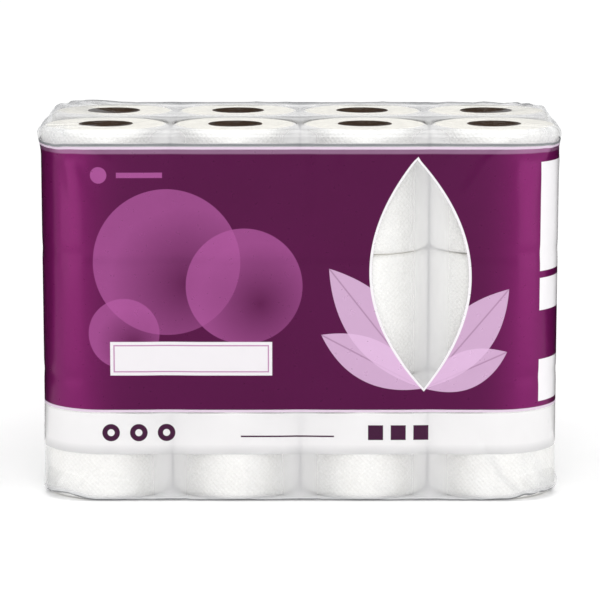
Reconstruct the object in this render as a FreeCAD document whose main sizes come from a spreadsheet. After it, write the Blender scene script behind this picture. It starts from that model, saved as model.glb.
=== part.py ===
import FreeCAD, Part
import math
import os
import Sketcher

# A pack of toilet paper rolls standing in layers inside one tight film bag.
# Millimetres. X runs along the width, the front looks along -Y, and Z is up.
# The origin is the middle of the bag's bottom face.

# Each size is written once, here: alias, value, what it is.
SIZES = [
    ("rolls_across", 4, "rolls side by side along X"),
    ("rolls_deep", 2, "rolls one behind the other along Y"),
    ("roll_layers", 3, "rolls one on top of the other along Z"),
    ("roll_diameter", 103, "outside of one wound roll"),
    ("roll_height", 99, "width of the paper web"),
    ("roll_edge_round", 6, "pressed edge at each end of a roll"),
    ("roll_gap", 0.3, "room between neighbouring rolls"),
    ("ring_count", 4, "rings that the wound turns leave on each end"),
    ("ring_width", 1.4, "width of one ring at the end face"),
    ("ring_depth", 0.5, "depth of one ring"),
    ("core_diameter", 43, "outside of the card tube"),
    ("core_wall", 0.6, "thickness of the wound card"),
    ("core_gap", 0.05, "room between the card tube and the first turn"),
    ("film_thickness", 0.3, "wall of the bag"),
    ("film_gap", 0.2, "room between the rolls' sides and the bag"),
    ("end_corner_radius", 32, "upright corner of the bag at its top and bottom"),
    ("end_blend", 24, "height over which the corner widens to the roll's curve"),
    ("weld_width", 11, "width of the welded strip that lies on the top"),
    ("weld_thickness", 0.6, "two layers of film"),
    ("weld_end_margin", 3, "bag's flat top left free past each end of the weld"),
    ("tuck_thickness", 0.3, "tucked side film under the top panel"),
]

doc = FreeCAD.newDocument("toilet_paper_pack")
sheet = doc.addObject("Spreadsheet::Sheet", "sizes")
for row, (alias, value, meaning) in enumerate(SIZES, start=1):
    sheet.set(f"A{row}", alias)
    sheet.set(f"B{row}", str(value))
    sheet.set(f"C{row}", meaning)
    sheet.setAlias(f"B{row}", alias)
doc.recompute()

# Lengths that follow from the sheet, as expressions.
ROLL_RADIUS = "(sizes.roll_diameter / 2)"
CORE_RADIUS = "(sizes.core_diameter / 2)"
BORE_RADIUS = f"({CORE_RADIUS} + sizes.core_gap)"
ROLL_PITCH = "(sizes.roll_diameter + sizes.roll_gap)"
CAVITY_WIDTH = f"({ROLL_PITCH} * sizes.rolls_across - sizes.roll_gap + 2 * sizes.film_gap)"
CAVITY_DEPTH = f"({ROLL_PITCH} * sizes.rolls_deep - sizes.roll_gap + 2 * sizes.film_gap)"
CAVITY_HEIGHT = "(sizes.roll_height * sizes.roll_layers)"
CAVITY_CORNER = f"({ROLL_RADIUS} + sizes.film_gap)"
CAVITY_END_CORNER = "(sizes.end_corner_radius - sizes.film_thickness)"
FILM_WIDTH = f"({CAVITY_WIDTH} + 2 * sizes.film_thickness)"
FILM_DEPTH = f"({CAVITY_DEPTH} + 2 * sizes.film_thickness)"
FILM_HEIGHT = f"({CAVITY_HEIGHT} + 2 * sizes.film_thickness)"
FILM_CORNER = f"({CAVITY_CORNER} + sizes.film_thickness)"
FILM_EDGE_ROUND = "(sizes.roll_edge_round + sizes.film_thickness)"

ORIGIN = (-1, 1)
START, END, CENTRE = 1, 2, 3
# A rounded edge is this many narrow flats.
EDGE_FLATS = 3


def new_body(name):
    """A body that carries its file's name."""
    body = doc.addObject("PartDesign::Body", name)
    body.Label = name
    return body


def new_sketch(body, name, role, height="0"):
    """A sketch on one of the body's own origin planes, raised by height."""
    sketch = body.newObject("Sketcher::SketchObject", name)
    plane = [item for item in body.Origin.OriginFeatures if item.Role == role][0]
    sketch.AttachmentSupport = (plane, [""])
    sketch.MapMode = "FlatFace"
    sketch.setExpression("AttachmentOffset.Base.z", height)
    return sketch


def add_dimension(sketch, kind, references, expression):
    """A dimension whose value follows the sheet."""
    value = float(sketch.evalExpression(expression))
    number = sketch.addConstraint(Sketcher.Constraint(kind, *references, value))
    sketch.setExpression(f"Constraints[{number}]", expression)


def add_polygon(sketch, points):
    """A closed outline; each corner is a pair of expressions, "0" lies on the X axis."""
    places = []
    for across, up in points:
        place = FreeCAD.Vector(sketch.evalExpression(across), sketch.evalExpression(up), 0)
        places.append(place)
    first = sketch.GeometryCount
    count = len(places)
    for number in range(count):
        sketch.addGeometry(Part.LineSegment(places[number], places[(number + 1) % count]))
    for number in range(count):
        following = first + (number + 1) % count
        sketch.addConstraint(Sketcher.Constraint("Coincident", first + number, END, following, START))
    for number, (across, up) in enumerate(points):
        add_dimension(sketch, "DistanceX", (*ORIGIN, first + number, START), across)
        if up == "0":
            sketch.addConstraint(Sketcher.Constraint("PointOnObject", first + number, START, -1))
        else:
            add_dimension(sketch, "DistanceY", (*ORIGIN, first + number, START), up)


def add_rounded_rectangle(sketch, width, depth, radius):
    """A rectangle centred on the origin, with four equal rounded corners."""
    half_x = float(sketch.evalExpression(width)) / 2
    half_y = float(sketch.evalExpression(depth)) / 2
    round_size = float(sketch.evalExpression(radius))
    flat_x = half_x - round_size
    flat_y = half_y - round_size
    quarter = math.pi / 2
    sides = [
        ((-flat_x, -half_y), (flat_x, -half_y)),
        ((half_x, -flat_y), (half_x, flat_y)),
        ((flat_x, half_y), (-flat_x, half_y)),
        ((-half_x, flat_y), (-half_x, -flat_y)),
    ]
    centres = [(flat_x, -flat_y), (flat_x, flat_y), (-flat_x, flat_y), (-flat_x, -flat_y)]
    for number, (side, centre) in enumerate(zip(sides, centres)):
        start, end = (FreeCAD.Vector(*point, 0) for point in side)
        sketch.addGeometry(Part.LineSegment(start, end))
        circle = Part.Circle(FreeCAD.Vector(*centre, 0), FreeCAD.Vector(0, 0, 1), round_size)
        sketch.addGeometry(Part.ArcOfCircle(circle, (number - 1) * quarter, number * quarter))
    front, right, back, left = 0, 2, 4, 6
    corners = [1, 3, 5, 7]
    for number in range(8):
        sketch.addConstraint(Sketcher.Constraint("Tangent", number, END, (number + 1) % 8, START))
    for side in (front, back):
        sketch.addConstraint(Sketcher.Constraint("Horizontal", side))
    for side in (right, left):
        sketch.addConstraint(Sketcher.Constraint("Vertical", side))
    for corner in corners[1:]:
        sketch.addConstraint(Sketcher.Constraint("Equal", corners[0], corner))
    opposite = Sketcher.Constraint("Symmetric", corners[0], CENTRE, corners[2], CENTRE, *ORIGIN)
    sketch.addConstraint(opposite)
    add_dimension(sketch, "DistanceX", (left, START, right, START), width)
    add_dimension(sketch, "DistanceY", (front, START, back, START), depth)
    add_dimension(sketch, "Radius", (corners[0],), radius)


def rounded_edge(size):
    """Corners of the flats around a rounded edge, from the end face to the side.

    Each is a pair of expressions: the inset from the side, the rise from the end."""
    turn = math.pi / 2 / EDGE_FLATS
    reach = 1 / math.cos(turn / 2)
    corners = []
    for number in range(EDGE_FLATS):
        angle = turn * (number + 0.5)
        inset = f"({size} * {1 - reach * math.sin(angle):.6f})"
        rise = f"({size} * {1 - reach * math.cos(angle):.6f})"
        corners.append([inset, rise])
    corners[0][1] = "0"
    corners[-1][0] = "0"
    return corners


def revolve(body, name, sketch):
    """A full turn of the sketch about the body's upright axis."""
    feature = body.newObject("PartDesign::Revolution", name)
    feature.Profile = sketch
    feature.ReferenceAxis = (sketch, ["V_Axis"])
    feature.Angle = 360


def place(body, x, y, z):
    """The body's place in the pack, as expressions."""
    body.setExpression("Placement.Base.x", x)
    body.setExpression("Placement.Base.y", y)
    body.setExpression("Placement.Base.z", z)


# One end of a roll's section, from the bore to the side: rings where the wound
# turns stand a little apart, then the pressed edge. Pairs of radius and depth.
def roll_end():
    points = [(BORE_RADIUS, "0")]
    flat_end = f"({ROLL_RADIUS} - sizes.roll_edge_round - {BORE_RADIUS})"
    for number in range(1, int(sheet.ring_count) + 1):
        middle = f"{BORE_RADIUS} + {flat_end} * {number} / (sizes.ring_count + 1)"
        points.append((f"({middle} - sizes.ring_width / 2)", "0"))
        points.append((f"({middle})", "sizes.ring_depth"))
        points.append((f"({middle} + sizes.ring_width / 2)", "0"))
    for inset, rise in rounded_edge("sizes.roll_edge_round"):
        points.append((f"({ROLL_RADIUS} - {inset})", rise))
    return points


# One wound roll: a thick tube of paper with soft edges and rings on both ends.
def make_roll(name):
    body = new_body(name)
    section = new_sketch(body, f"{name}_section", "XZ_Plane")
    bottom = roll_end()
    top = [(radius, f"(sizes.roll_height - {depth})") for radius, depth in reversed(bottom)]
    add_polygon(section, bottom + top)
    revolve(body, f"{name}_wound", section)
    return body


# The card tube that the paper is wound on.
def make_core(name):
    body = new_body(name)
    section = new_sketch(body, f"{name}_section", "XZ_Plane")
    inside = f"({CORE_RADIUS} - sizes.core_wall)"
    add_polygon(section, [
        (inside, "0"),
        (CORE_RADIUS, "0"),
        (CORE_RADIUS, "sizes.roll_height"),
        (inside, "sizes.roll_height"),
    ])
    revolve(body, f"{name}_tube", section)
    return body


# A closed block with the bag's outline: the upright corners follow the rolls and
# sharpen towards the top and the bottom, where the film is folded in.
def make_block(name, low, height, width, depth, corner, end_corner, edge_round):
    body = new_body(name)
    rising = []
    for inset, rise in rounded_edge(edge_round):
        rising.append((rise, inset, end_corner))
    rising.append(("sizes.end_blend", "0", corner))
    levels = [(f"{low} + {rise}", inset, radius) for rise, inset, radius in rising]
    levels += [(f"{low} + {height} - {rise}", inset, radius) for rise, inset, radius in reversed(rising)]
    outlines = []
    for number, (level, inset, radius) in enumerate(levels, start=1):
        outline = new_sketch(body, f"{name}_outline_{number}", "XY_Plane", level)
        across = f"({width} - 2 * {inset})"
        along = f"({depth} - 2 * {inset})"
        add_rounded_rectangle(outline, across, along, f"({radius} - {inset})")
        outlines.append(outline)
    loft = body.newObject("PartDesign::AdditiveLoft", f"{name}_loft")
    loft.Profile = outlines[0]
    loft.Sections = outlines[1:]
    loft.Ruled = True
    return body


# The welded strip along the middle of the top, and the two triangles where the
# side film is tucked under the top panel.
def add_top_closure(body):
    half_flat = f"({FILM_WIDTH} / 2 - {FILM_EDGE_ROUND})"
    weld_end = f"({half_flat} - sizes.weld_end_margin)"
    half_weld = "(sizes.weld_width / 2)"
    weld_outline = new_sketch(body, "weld_outline", "XY_Plane", FILM_HEIGHT)
    add_polygon(weld_outline, [
        (f"-{weld_end}", f"-{half_weld}"),
        (weld_end, f"-{half_weld}"),
        (weld_end, half_weld),
        (f"-{weld_end}", half_weld),
    ])
    weld = body.newObject("PartDesign::Pad", "weld")
    weld.Profile = weld_outline
    weld.setExpression("Length", "sizes.weld_thickness")
    tuck_half = f"({FILM_DEPTH} / 2 - sizes.end_corner_radius)"
    tuck_tip = f"({half_flat} - {tuck_half})"
    tuck_outline = new_sketch(body, "tuck_outline", "XY_Plane", FILM_HEIGHT)
    add_polygon(tuck_outline, [
        (half_flat, f"-{tuck_half}"),
        (half_flat, tuck_half),
        (tuck_tip, "0"),
    ])
    add_polygon(tuck_outline, [
        (f"-{half_flat}", tuck_half),
        (f"-{half_flat}", f"-{tuck_half}"),
        (f"-{tuck_tip}", "0"),
    ])
    tuck = body.newObject("PartDesign::Pad", "tuck")
    tuck.Profile = tuck_outline
    tuck.setExpression("Length", "sizes.tuck_thickness")


# The film bag: one thin closed skin.
def make_film(name):
    outside = make_block(
        "film_outside", "0", FILM_HEIGHT, FILM_WIDTH, FILM_DEPTH,
        FILM_CORNER, "sizes.end_corner_radius", FILM_EDGE_ROUND,
    )
    add_top_closure(outside)
    inside = make_block(
        "film_inside", "sizes.film_thickness", CAVITY_HEIGHT, CAVITY_WIDTH, CAVITY_DEPTH,
        CAVITY_CORNER, CAVITY_END_CORNER, "sizes.roll_edge_round",
    )
    film = doc.addObject("Part::Cut", name)
    film.Label = name
    film.Base = outside
    film.Tool = inside
    return film


pieces = []
for layer in range(int(sheet.roll_layers)):
    for rank in range(int(sheet.rolls_deep)):
        for column in range(int(sheet.rolls_across)):
            x = f"{ROLL_PITCH} * ({column} - (sizes.rolls_across - 1) / 2)"
            y = f"{ROLL_PITCH} * ({rank} - (sizes.rolls_deep - 1) / 2)"
            z = f"sizes.film_thickness + sizes.roll_height * {layer}"
            where = f"layer{layer + 1}_row{rank + 1}_column{column + 1}"
            for piece in (make_roll(f"roll_{where}"), make_core(f"core_{where}")):
                place(piece, x, y, z)
                pieces.append(piece)
pieces.append(make_film("film_wrap"))
doc.recompute()

for item in doc.Objects:
    if "Invalid" in item.State or "Error" in item.State:
        raise RuntimeError(f"{item.Label} failed: {item.State}")
for piece in pieces:
    if piece.Shape.isNull() or not piece.Shape.isValid():
        raise RuntimeError(f"{piece.Label} has no valid shape")
    if len(piece.Shape.Solids) != 1:
        raise RuntimeError(f"{piece.Label} is not one solid")

os.makedirs("parts", exist_ok=True)
for piece in pieces:
    piece.Shape.exportStep(f"parts/{piece.Label}.step")
print(f"{len(pieces)} pieces written")
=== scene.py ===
# %% [markdown]
# # A pack of toilet paper rolls in printed film
# The object is a tight film bag round rolls that stand upright, four across, two deep and
# three high. What makes it look real is not one clever shape: it is paper that shows through
# clear film, print that stops where the film is clear, and film that is pulled tight over
# round things, so it has folds at its corners and dips between the rolls. This lesson builds
# those in that order, inside a fixed model that gives every piece its true size and place.

# %% Load the fixed model
import math

import bpy
import numpy as np
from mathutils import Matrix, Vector


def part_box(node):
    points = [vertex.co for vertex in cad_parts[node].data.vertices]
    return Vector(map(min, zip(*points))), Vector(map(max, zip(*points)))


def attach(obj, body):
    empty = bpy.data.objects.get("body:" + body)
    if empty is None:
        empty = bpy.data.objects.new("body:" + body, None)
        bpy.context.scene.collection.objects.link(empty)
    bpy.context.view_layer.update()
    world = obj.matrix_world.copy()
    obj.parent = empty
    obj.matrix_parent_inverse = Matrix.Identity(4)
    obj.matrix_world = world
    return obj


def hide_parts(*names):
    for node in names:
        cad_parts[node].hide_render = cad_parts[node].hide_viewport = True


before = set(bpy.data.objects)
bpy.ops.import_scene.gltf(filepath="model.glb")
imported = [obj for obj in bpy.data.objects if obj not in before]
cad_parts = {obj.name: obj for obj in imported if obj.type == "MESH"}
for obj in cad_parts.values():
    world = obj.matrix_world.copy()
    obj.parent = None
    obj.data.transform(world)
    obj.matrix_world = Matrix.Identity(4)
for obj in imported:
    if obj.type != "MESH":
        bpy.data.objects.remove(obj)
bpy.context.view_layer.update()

MM = 0.001
print("pieces in the fixed model:", len(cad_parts))

# %% [markdown]
# ## Sizes
# The fixed model already holds each roll, each card tube and the bag. Reading the sizes from
# their boxes, and not typing them again, means that every mesh below follows the model if one
# of its sizes changes. Inside this file lengths are in millimetres until a mesh is made,
# because a paper maker thinks in millimetres, and Blender gets metres.

# %% Read the sizes
ROLL_NODES = sorted(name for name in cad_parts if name.startswith("roll_"))
CORE_NODES = sorted(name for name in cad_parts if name.startswith("core_"))
FILM_NODE = "film_wrap"


def box_mm(node):
    """A node's lowest corner and its size, in millimetres."""
    low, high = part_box(node)
    return np.array(low) / MM, np.array(high - low) / MM


first_roll_low, roll_size = box_mm(ROLL_NODES[0])
core_size = box_mm(CORE_NODES[0])[1]
bag_size = box_mm(FILM_NODE)[1]
ROLL_RADIUS = roll_size[0] / 2
ROLL_HEIGHT = roll_size[2]
CORE_RADIUS = core_size[0] / 2
FILM_WALL = first_roll_low[2]
HALF_WIDTH = bag_size[0] / 2
HALF_DEPTH = bag_size[1] / 2
LAYERS = round(bag_size[2] / ROLL_HEIGHT)
BAG_HEIGHT = LAYERS * ROLL_HEIGHT + 2 * FILM_WALL
axes_x = sorted({round(box_mm(name)[0][0] + ROLL_RADIUS, 1) for name in ROLL_NODES})
axes_y = sorted({round(box_mm(name)[0][1] + ROLL_RADIUS, 1) for name in ROLL_NODES})
ROLL_AXES = [(x, y) for x in axes_x for y in axes_y]
print(f"roll {2 * ROLL_RADIUS:.0f} x {ROLL_HEIGHT:.0f} mm, bag {bag_size.round(1)} mm")
print("roll axes in x:", axes_x, "and in y:", axes_y)

# %% [markdown]
# ## Meshes from grids
# Film and paper are both sheets, so each can be written as a grid of points: columns that go
# round the object and rows that go along it. A grid is quick to make with arrays, its faces
# stay even, and a second grid of the same form gives every face its flat coordinates, as a
# printer's sheet would have them.

# %% A closed grid as a mesh
def grid_mesh(name, points, flat, flat_name, close_rows=False):
    """A mesh from rows of points that close round on themselves.

    points is rows x columns x 3 in millimetres; flat is rows x (columns + 1) x 2, also in
    millimetres, and becomes the UV map flat_name in metres."""
    rows, columns = points.shape[:2]
    index = np.arange(rows * columns).reshape(rows, columns)
    low = index if close_rows else index[:-1]
    high = np.roll(index, -1, axis=0) if close_rows else index[1:]
    faces = np.stack([low, np.roll(low, -1, 1), np.roll(high, -1, 1), high], axis=-1)
    mesh = bpy.data.meshes.new(name)
    mesh.from_pydata((points.reshape(-1, 3) * MM).tolist(), [], faces.reshape(-1, 4).tolist())
    flat_high = np.roll(flat, -1, axis=0) if close_rows else flat[1:]
    flat_low = flat if close_rows else flat[:-1]
    corners = np.stack(
        [flat_low[:, :-1], flat_low[:, 1:], flat_high[:, 1:], flat_high[:, :-1]], axis=2
    )
    layer = mesh.uv_layers.new(name=flat_name)
    layer.data.foreach_set("uv", (corners * MM).astype(np.float32).ravel())
    mesh.shade_smooth()
    mesh.update()
    return mesh


def set_out(name, data):
    """A new object of the scene that shows this mesh, lamp or camera."""
    thing = bpy.data.objects.new(name, data)
    bpy.context.scene.collection.objects.link(thing)
    return thing


def add_piece(name, mesh, slot, *nodes):
    """An object that rides on the pack and stands for nodes of the fixed model."""
    piece = set_out(name, mesh)
    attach(piece, "root")
    if nodes:
        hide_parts(*nodes)


# %% [markdown]
# ## Shader maths that reads like maths
# Print is decided by where a point lies: above this line, inside that oval. In Blender each
# such step is a Math node, and a drawing of many nodes is hard to read and to change. The
# class below wraps one socket, and writing `1 - mask` on it adds the node. Everything that
# isn't plain maths comes from one method, `add`.

# %% A value in a material
def operator(operation, swapped=False):
    """A method that adds one Math node for an operator."""

    def apply(self, number):
        terms = (number, self) if swapped else (self, number)
        return self.finish.maths(operation, *terms)

    return apply


class Term:
    """One socket of a finish; arithmetic on it adds Math nodes."""

    def __init__(self, finish, socket):
        self.finish = finish
        self.socket = socket

    def other(self, output):
        """Another output of the same node."""
        return Term(self.finish, self.socket.node.outputs[output])

    __add__ = operator("ADD")
    __radd__ = operator("ADD", swapped=True)
    __sub__ = operator("SUBTRACT")
    __rsub__ = operator("SUBTRACT", swapped=True)
    __mul__ = operator("MULTIPLY")
    __rmul__ = operator("MULTIPLY", swapped=True)
    __truediv__ = operator("DIVIDE")
    __rtruediv__ = operator("DIVIDE", swapped=True)

    def __abs__(self):
        return self.finish.maths("ABSOLUTE", self)


WHITE = (1.0, 1.0, 1.0, 1.0)


class Finish:
    """A material, or another owner of shader nodes, that is written node by node."""

    def __init__(self, name, owners=bpy.data.materials):
        self.material = owners.new(name)
        self.material.use_nodes = True
        self.tree = self.material.node_tree
        self.tree.nodes.clear()

    def add(self, kind, settings, sockets, output=0):
        """A node of this kind; its settings are set first, then its sockets."""
        node = self.tree.nodes.new("ShaderNode" + kind)
        for setting, value in settings.items():
            setattr(node, setting, value)
        for socket, value in sockets.items():
            if isinstance(value, Term):
                self.tree.links.new(value.socket, node.inputs[socket])
            else:
                node.inputs[socket].default_value = value
        return Term(self, node.outputs[output]) if node.outputs else None

    def maths(self, operation, *terms):
        return self.add("Math", {"operation": operation}, dict(enumerate(terms)))

    def clamp(self, term):
        """The term held between 0 and 1."""
        settings = {"operation": "MULTIPLY", "use_clamp": True}
        return self.add("Math", settings, {0: term, 1: 1.0})

    def mask(self, inside, softness):
        """1 where inside is above zero, 0 where it is below, soft over that width."""
        return self.clamp(inside / softness + 0.5)

    def mix(self, factor, first, second):
        """A colour between two colours."""
        sockets = {"Factor": factor, 6: first, 7: second}
        return self.add("Mix", {"data_type": "RGBA"}, sockets, output=2)

    def most(self, first, *others):
        """The greatest of these."""
        for term in others:
            first = self.maths("MAXIMUM", first, term)
        return first

    def sheet(self, name):
        """The place on the flat sheet of this name, in metres."""
        return self.add("UVMap", {"uv_map": name}, {})

    def parts(self, place):
        """The x, y and z of a place."""
        x = self.add("SeparateXYZ", {}, {0: place}, output="X")
        return x, x.other("Y"), x.other("Z")

    def attribute(self, name):
        """A value that the mesh keeps for each of its points."""
        return self.add("Attribute", {"attribute_name": name}, {}, output="Fac")

    def surface(self, colour, roughness, height, strength, distance, others):
        """An ordinary surface whose finest relief is bump."""
        bump = self.add("Bump", {}, {"Strength": strength, "Distance": distance, "Height": height})
        sockets = {"Base Color": colour, "Roughness": roughness, "Normal": bump, **others}
        return self.add("BsdfPrincipled", {}, sockets)

    def noise(self, place, scale, detail, roughness=0.5):
        sockets = {"Vector": place, "Scale": scale, "Detail": detail, "Roughness": roughness}
        return self.add("TexNoise", {}, sockets, output="Fac")

    def show(self, shader):
        """Puts the shader on the surface and gives the finished material."""
        self.add("OutputMaterial", {}, {"Surface": shader})
        return self.material


def screen(red, green, blue):
    """A colour as a screen writes it, 0 to 255, for a shader's socket."""
    values = [channel / 255 for channel in (red, green, blue)]
    linear = [v / 12.92 if v <= 0.04045 else ((v + 0.055) / 1.055) ** 2.4 for v in values]
    return (*linear, 1.0)


print("a mid grey in a shader is", round(screen(128, 128, 128)[0], 3))

# %% [markdown]
# ## The rolls
# A roll is a web of soft paper wound on a card tube. Its side is embossed, and its ends show
# the edge of every turn as a fine spiral, a little uneven because the web wanders while it is
# wound. The whole roll is one grid: its rows follow a section from the bore out over one end,
# up the side and back over the other end, and its columns go round. The spiral is real
# relief in the mesh, so it catches the light from any side; only the fibre is left to bump.

# %% The section of a roll
ROLL_COLUMNS = 72
ROLL_KINDS = 3
EDGE_ROUND = 6.0
TURN_STEP = 2.3
TURN_RELIEF = 0.16
END_ROWS = 26
EDGE_ROWS = 6
SIDE_ROWS = 7


def roll_section():
    """Radius, height, and 1 on the wound ends, for each row from bore to bore."""
    flat_edge = ROLL_RADIUS - EDGE_ROUND
    radii = np.linspace(CORE_RADIUS + 0.05, flat_edge, END_ROWS)
    end = np.stack([radii, np.zeros(END_ROWS), np.ones(END_ROWS)], axis=1)
    angles = np.linspace(0, math.pi / 2, EDGE_ROWS + 1)[1:]
    edge = np.stack([
        flat_edge + EDGE_ROUND * np.sin(angles),
        EDGE_ROUND * (1 - np.cos(angles)),
        np.clip(1 - angles / (math.pi / 4), 0, 1),
    ], axis=1)
    heights = np.linspace(EDGE_ROUND, ROLL_HEIGHT - EDGE_ROUND, SIDE_ROWS + 2)[1:-1]
    side = np.stack([np.full(SIDE_ROWS, ROLL_RADIUS), heights, np.zeros(SIDE_ROWS)], axis=1)
    lower = np.concatenate([end, edge])
    upper = lower[::-1] * [1, -1, 1] + [0, ROLL_HEIGHT, 0]
    return np.concatenate([lower, side, upper])


section = roll_section()
print("rows in a roll's section:", len(section))


# %% One roll's mesh
def roll_mesh(number):
    """A wound roll; the number changes how its web has wandered."""
    angles = np.linspace(0, 2 * math.pi, ROLL_COLUMNS, endpoint=False)
    radius, height, on_end = np.hsplit(section, 3)
    spiral = radius / TURN_STEP - angles / (2 * math.pi)
    slow = np.sin(radius * 0.21 + 2 * angles + number)
    wander = 0.5 * np.sin(radius * 0.55 + 1.3 + 2 * number) + 0.5 * slow
    relief = TURN_RELIEF * (np.sin(2 * math.pi * spiral) + wander - 1.6)
    inward = np.where(height < ROLL_HEIGHT / 2, -1.0, 1.0)
    points = np.stack([
        radius * np.cos(angles),
        radius * np.sin(angles),
        height + on_end * inward * relief,
    ], axis=-1)
    path = np.concatenate([[0], np.cumsum(np.hypot(*np.diff(section[:, :2], axis=0).T))])
    around = np.linspace(0, 2 * math.pi * ROLL_RADIUS, ROLL_COLUMNS + 1)
    flat = np.stack(np.meshgrid(around, path), axis=-1)
    mesh = grid_mesh(f"wound_roll_{number}", points, flat, "web", close_rows=True)
    end_faces = np.repeat(on_end[:, 0] > 0.5, ROLL_COLUMNS)
    mesh.polygons.foreach_set("material_index", end_faces.astype(np.int32))
    return mesh


wound_rolls = [roll_mesh(number) for number in range(ROLL_KINDS)]
print("faces in one roll:", len(wound_rolls[0].polygons))

# %% [markdown]
# Soft paper is nearly white and quite rough, with a warm tone where light has passed
# through it. The side gets an embossed lattice of small dots, set out on the flat sheet so
# that they keep their size, and the ends get fine rings that are only colour and bump,
# between the turns that the mesh already has.

# %% The finish of the paper
PAPER_LIGHT = screen(253, 253, 251)
PAPER_SHADE = screen(242, 241, 238)
END_LIGHT = screen(254, 252, 245)
END_SHADE = screen(241, 238, 230)
DOT_STEP = 4.2


def paper_side():
    paint = Finish("tissue_side")
    web = paint.sheet("web")
    across, along, _ = paint.parts(web)
    wave = 2 * math.pi / (DOT_STEP * MM)
    dots = paint.maths("SINE", across * wave) * paint.maths("SINE", along * wave)
    fibre = paint.noise(web, 900.0, 4.0)
    cloud = paint.noise(web, 40.0, 2.0)
    colour = paint.mix(paint.clamp(dots * 0.25 + cloud * 0.8), PAPER_SHADE, PAPER_LIGHT)
    height = dots * 0.7 + fibre * 0.5
    soft = {"Sheen Weight": 0.15, "Specular IOR Level": 0.25}
    return paint.show(paint.surface(colour, 0.85 - fibre * 0.1, height, 0.5, 0.0004, soft))


def paper_end():
    paint = Finish("tissue_end")
    web = paint.sheet("web")
    across, along, _ = paint.parts(web)
    stretched = paint.add("CombineXYZ", {}, {"X": across * 6.0, "Y": along * 2400.0})
    rings = paint.noise(stretched, 1.0, 3.0, 0.7)
    cloud = paint.noise(web, 55.0, 2.0)
    colour = paint.mix(paint.clamp(rings * 0.9 + cloud * 0.5 - 0.1), END_SHADE, END_LIGHT)
    soft = {"Sheen Weight": 0.15, "Specular IOR Level": 0.2}
    return paint.show(paint.surface(colour, 0.9 - rings * 0.08, rings, 0.6, 0.0006, soft))


for finish in (paper_side(), paper_end()):
    for mesh in wound_rolls:
        mesh.materials.append(finish)

# %% Set the rolls in their places
for number, node in enumerate(ROLL_NODES):
    low = box_mm(node)[0]
    roll = set_out("wound_" + node, wound_rolls[number % ROLL_KINDS])
    roll.location = Vector((low[0] + ROLL_RADIUS, low[1] + ROLL_RADIUS, low[2])) * MM
    roll.rotation_euler.z = (number % 4) * math.pi / 2
    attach(roll, "root")
    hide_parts(node)
print("rolls set:", len(ROLL_NODES))

# %% [markdown]
# ## The card tubes
# A card tube is wound from strips of grey-brown board, so a spiral joint runs round it, and
# it is a little darker inside. Only its inside shows, deep in the rolls, and both tones of its
# board are painted deeper than the board itself, as painted shade for that inside. The fixed
# model's tubes already have the right form, so they stay and only get a finish. The joint is a
# thin dark line whose height grows with the angle round the tube's axis, which repeats every
# roll pitch, so one material serves all of them.

# %% The finish of the card
# Painted shade: both card tones are deeper than the board's own, for the tubes' shaded insides.
SHADED_CARD_LIGHT = screen(90, 68, 48)
SHADED_CARD_DARK = screen(50, 35, 24)
STRIP_WIDTH = 62.0
JOINT_WIDTH = 1.2


def card_finish():
    paint = Finish("wound_card")
    place = paint.add("TexCoord", {}, {}, output="Object")
    x, y, z = paint.parts(place)
    pitch_x = (axes_x[1] - axes_x[0]) * MM
    pitch_y = (axes_y[1] - axes_y[0]) * MM
    local_x = paint.maths("WRAP", x - axes_x[0] * MM, pitch_x / 2, -pitch_x / 2)
    local_y = paint.maths("WRAP", y - axes_y[0] * MM, pitch_y / 2, -pitch_y / 2)
    turn = paint.maths("ARCTAN2", local_y, local_x) / (2 * math.pi)
    climb = z / (STRIP_WIDTH * MM) + turn
    beside = abs(paint.maths("FRACT", climb) - 0.5) * STRIP_WIDTH
    joint = 1 - paint.clamp(beside / JOINT_WIDTH)
    fibre = paint.noise(place, 700.0, 5.0, 0.65)
    cloud = paint.noise(place, 60.0, 2.0)
    colour = paint.mix(paint.clamp(fibre * 0.7 + cloud * 0.6 - 0.15), SHADED_CARD_DARK, SHADED_CARD_LIGHT)
    colour = paint.mix(joint * 0.6, colour, SHADED_CARD_DARK)
    matt = {"Specular IOR Level": 0.3}
    height = fibre * 0.4 - joint
    return paint.show(paint.surface(colour, 0.8 + fibre * 0.1, height, 0.6, 0.0004, matt))


card = card_finish()
for node in CORE_NODES:
    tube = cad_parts[node]
    tube.data.materials.clear()
    tube.data.materials.append(card)
print("card tubes finished:", len(CORE_NODES))

# %% [markdown]
# ## The bag's form
# Film that is pulled tight over rolls runs straight from one roll to the next, follows the
# outer rolls round the upright corners, and sinks a little over every gap. At the top and
# the bottom the tube of film has to be folded flat, so its corners are sharper there and
# stand out as small ears. The bag is one closed grid: columns go round the pack, and rows
# run from the middle of the underside, out, up the sides and in again over the top.

# %% Columns round the pack
FILM_COLUMNS = 560
CORNER = ROLL_RADIUS + 0.5
TOP_CORNER = 32.0
BOTTOM_CORNER = 40.0
END_BLEND = 26.0
FILM_EDGE = 6.3
FLAT_X = HALF_WIDTH - CORNER
FLAT_Y = HALF_DEPTH - CORNER
QUARTER = CORNER * math.pi / 2
PERIMETER = 4 * (FLAT_X + FLAT_Y + QUARTER)


def outline(travel, half_x, half_y, corner):
    """The point at this travel round the pack, from the front's middle to the right.

    travel is measured on the bag's waist, so a column stays a column at every height."""
    ahead = np.abs(travel)
    shares = []
    for length in (FLAT_X, QUARTER, 2 * FLAT_Y, QUARTER, FLAT_X):
        shares.append(np.clip(ahead / length, 0, 1))
        ahead = ahead - length
    along_front, front_turn, along_side, back_turn, along_back = shares
    turn = (front_turn + back_turn) * math.pi / 2
    x = (half_x - corner) * (along_front - along_back) + corner * np.sin(turn)
    y = (half_y - corner) * (2 * along_side - 1) - corner * np.cos(turn)
    return np.stack([np.sign(travel) * x, y], axis=-1)


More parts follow.
